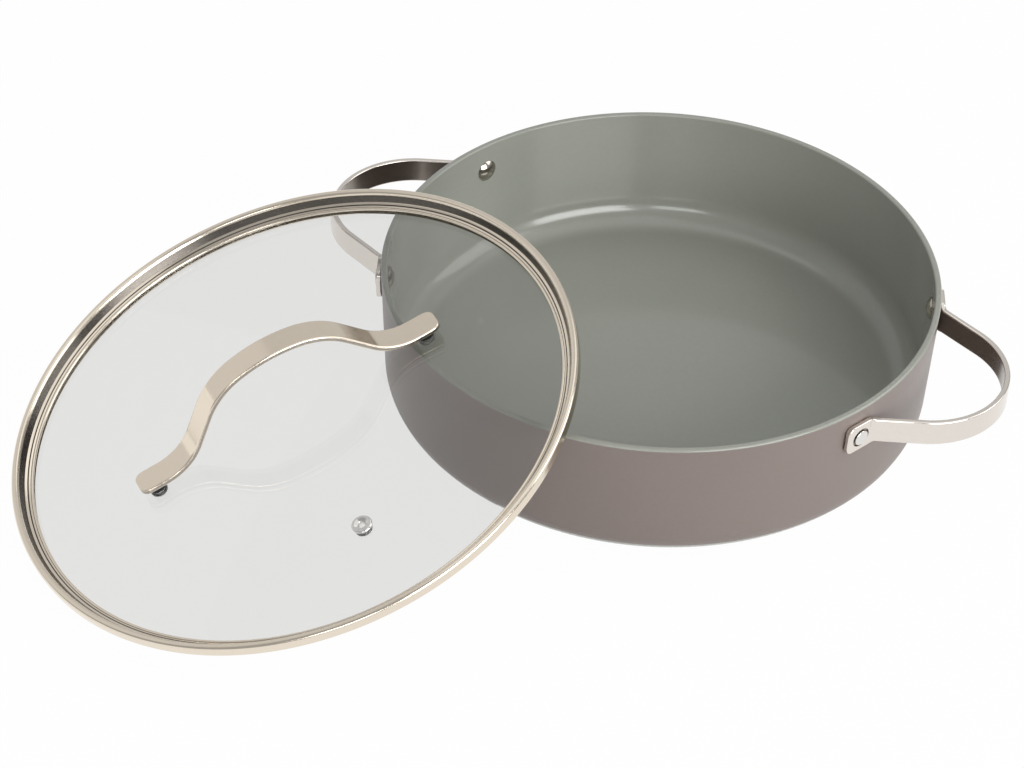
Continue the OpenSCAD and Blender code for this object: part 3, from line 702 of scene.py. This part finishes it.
boss_ring = washer_ring(bore, BOSS_R, glass_top + GAP, seat_z, 0.1)
spacer_ring = washer_ring(BOSS_R + GAP, SPACER_R, glass_top + GAP, seat_z, 0.3)
plain_ring = washer_ring(bore, WASHER_R, washer_z, seal_z, 0.12)
sleeve = rounded([
    (bore, seal_z, 0), (SEAL_R, seal_z, 0.25), (SEAL_R, under_z - GAP, 0.15),
    (SCREW_HOLE_R - GAP, under_z - GAP, 0), (SCREW_HOLE_R - GAP, under_z + GLASS_T - SEAT, 0.1),
    (bore, under_z + GLASS_T - SEAT, 0)], 4)
screw_section = rounded([
    (0, washer_z - HEAD_H, 0), (HEAD_R - 0.3, washer_z - HEAD_H, 1.1), (HEAD_R, washer_z, 0.1),
    (SCREW_R, washer_z, 0), (SCREW_R, shank_top, 0.2), (0, shank_top, 0)], 6)
slot_corners = [(x, y, z) for z in (washer_z - HEAD_H - OVER, washer_z - HEAD_H / 2)
                for x, y in ((-SCREW_R, -SLOT_HALF), (SCREW_R, -SLOT_HALF),
                             (SCREW_R, SLOT_HALF), (-SCREW_R, SLOT_HALF))]
slot_faces = [(0, 1, 2, 3), (4, 5, 6, 7), (0, 1, 5, 4), (1, 2, 6, 5), (2, 3, 7, 6), (3, 0, 4, 7)]

for word, side in (("upper", 1), ("lower", -1)):
    place = at_screw[side]

    def lean_low(x, y, z, side=side):
        """Tilts the washer's lower face to the slope of the glass."""
        return (x, y, z - side * slope * x if z < seat_z - SPACER_T / 2 else z)

    def lean_high(x, y, z, side=side):
        """Tilts the seal's face under the glass to its slope."""
        return (x, y, z - side * slope * x if seal_z + SEAL_T / 2 < z < under_z + SEAL_T else z)

    boss = revolve("boss_" + word, [boss_ring], SMALL_TURNS, [satin], place)
    fit(boss, "lid", "polished_steel", "lid_handle_boss_" + word)
    spacer = revolve("top_washer_" + word, [spacer_ring], SMALL_TURNS, [silicone], place,
                     warp=lean_low)
    fit(spacer, "lid", "black_silicone", "lid_handle_washer_" + word)
    seal = revolve("seal_" + word, [sleeve], SMALL_TURNS, [pale_silicone], place, warp=lean_high)
    fit(seal, "lid", "clear_silicone", "lid_seal_washer_" + word)
    washer = revolve("plain_washer_" + word, [plain_ring], SMALL_TURNS, [satin], place)
    fit(washer, "lid", "polished_steel", "lid_plain_washer_" + word)
    screw = revolve("screw_" + word, [screw_section], SMALL_TURNS, [satin], place)
    slots = [mesh_object("slot", slot_corners, slot_faces, []) for _ in range(2)]
    for slot, a in zip(slots, (0, math.pi / 2)):
        slot.data.transform(Matrix.Scale(MM, 4) @ place @ turn_z(a))
    carve(screw, slots)
    fit(screw, "lid", "polished_steel", "lid_screw_" + word)

# ---- Steam vent, in heights above the glass ----

foot_z = -GLASS_T - VENT_WASHER_T - 2 * GAP
flare = ROLL / 2
eyelet_section = rounded([
    (VENT_HOLE_R, foot_z - flare, 0.4), (TUBE_R + flare, foot_z - flare, 0.3),
    (TUBE_R + flare, foot_z, 0.1), (TUBE_R, foot_z, 0), (TUBE_R, GAP, 0),
    (FLANGE_R, GAP, 0.75), (FLANGE_R, GAP + ROLL, 0.75), (FLANGE_R - ROLL, GAP + ROLL, 0.5),
    (VENT_HOLE_R, GAP + ROLL / 2, 0.5)], 5)
eyelet = revolve("vent_eyelet_rolled", [eyelet_section], SMALL_TURNS, [chrome], vent_place)
fit(eyelet, "lid", "polished_steel", "vent_eyelet")
vent_ring = washer_ring(TUBE_R + GAP, VENT_WASHER_R, foot_z + GAP, foot_z + GAP + VENT_WASHER_T,
                        0.15)
vent_washer = revolve("vent_washer_turned", [vent_ring], SMALL_TURNS, [pale_silicone], vent_place)
fit(vent_washer, "lid", "clear_silicone", "vent_washer")

# ---- Stage, in metres ----

# White of the floor to the camera and in mirrors, and seen through glass
WHITE, WHITE_IN_GLASS = 0.98, 0.82
# Half size of the floor, and its depth below the object
FLOOR_REACH, FLOOR_DROP = 30.0, 1e-4
WORLD_STRENGTH = 0.42
# Point that every lamp faces
AIM = Vector((0, 0, 0.03))


def white_seen(tree, diffuse, strength, strength_in_glass):
    """Mixes a white glow over a shader where the camera, a mirror or glass looks at it."""
    path = tree.nodes.new("ShaderNodeLightPath")
    first = tree.nodes.new("ShaderNodeMath")
    second = tree.nodes.new("ShaderNodeMath")
    first.operation = second.operation = "MAXIMUM"
    plain, clear = tree.nodes.new("ShaderNodeMath"), tree.nodes.new("ShaderNodeMath")
    for share, value in ((plain, strength), (clear, strength_in_glass)):
        share.operation = "MULTIPLY"
        share.inputs[1].default_value = value
    tree.links.new(path.outputs["Is Camera Ray"], first.inputs[0])
    tree.links.new(path.outputs["Is Glossy Ray"], first.inputs[1])
    tree.links.new(first.outputs[0], plain.inputs[0])
    tree.links.new(path.outputs["Is Transmission Ray"], clear.inputs[0])
    tree.links.new(plain.outputs[0], second.inputs[0])
    tree.links.new(clear.outputs[0], second.inputs[1])
    glow = tree.nodes.new("ShaderNodeEmission")
    glow.inputs["Color"].default_value = (1, 1, 1, 1)
    glow.inputs["Strength"].default_value = 1.0
    mix = tree.nodes.new("ShaderNodeMixShader")
    tree.links.new(second.outputs[0], mix.inputs[0])
    tree.links.new(diffuse, mix.inputs[1])
    tree.links.new(glow.outputs[0], mix.inputs[2])
    return mix.outputs[0]


paper = bpy.data.materials.new("paper")
paper.use_nodes = True
ground = paper.node_tree.nodes["Principled BSDF"]
ground.inputs["Base Color"].default_value = (0.6, 0.6, 0.6, 1)
ground.inputs["Roughness"].default_value = 0.9
ground.inputs["Specular IOR Level"].default_value = 0.0
seen = white_seen(paper.node_tree, ground.outputs[0], WHITE, WHITE_IN_GLASS)
paper.node_tree.links.new(seen, paper.node_tree.nodes["Material Output"].inputs["Surface"])
floor_corners = [(x * FLOOR_REACH, y * FLOOR_REACH, -FLOOR_DROP)
                 for x, y in ((-1, -1), (1, -1), (1, 1), (-1, 1))]
floor = mesh_object("floor", floor_corners, [(0, 1, 2, 3)], [paper])

world = bpy.data.worlds.new("studio")
bpy.context.scene.world = world
world.use_nodes = True
sky = world.node_tree.nodes["Background"]
sky.inputs["Color"].default_value = (1.0, 1.0, 1.0, 1)
sky.inputs["Strength"].default_value = WORLD_STRENGTH


def softbox(name, azimuth, elevation, distance, width, height, radiance):
    """Rectangular lamp that faces AIM. Its strength is given as the brightness of its face."""
    lamp = bpy.data.lights.new(name, "AREA")
    lamp.shape, lamp.size, lamp.size_y = "RECTANGLE", width, height
    lamp.energy = radiance * math.pi * width * height
    ob = bpy.data.objects.new(name, lamp)
    bpy.context.scene.collection.objects.link(ob)
    a, e = math.radians(azimuth), math.radians(elevation)
    away = Vector((math.cos(e) * math.cos(a), math.cos(e) * math.sin(a), math.sin(e)))
    ob.location = AIM + away * distance
    ob.rotation_euler = away.to_track_quat("Z", "Y").to_euler()


softbox("key", -30, 23, 1.9, 1.35, 1.0, 6.5)
softbox("fill", -74, 23, 1.9, 0.7, 0.42, 4.4)
softbox("side", 30, 35, 2.0, 1.2, 1.2, 2.2)
softbox("top", 60, 80, 2.2, 2.6, 2.2, 0.55)
# Large dim panels that the steel of the lid mirrors
softbox("rear", 144.5, 35, 3.0, 7.7, 4.4, 0.225)
softbox("left", 182, 22, 3.0, 2.2, 2.7, 0.1)

# ---- Camera, found by fitting the photograph's perspective, in metres and pixels ----

LENS_PX, IMAGE_W = 3031.4, 1024
eye = Vector((0.490808, -1.223878, 1.070355))
right = Vector((0.894879, 0.445611, 0.024951))
up = Vector((-0.299798, 0.55876, 0.773246))
camera = bpy.data.cameras.new("camera")
camera.sensor_width = 36.0
camera.lens = LENS_PX * camera.sensor_width / IMAGE_W
camera_object = bpy.data.objects.new("camera", camera)
bpy.context.scene.collection.objects.link(camera_object)
turned = Matrix((right, up, right.cross(up))).transposed().to_4x4()
camera_object.matrix_world = Matrix.Translation(eye) @ turned
bpy.context.scene.camera = camera_object
bpy.context.scene.view_settings.view_transform = "Standard"
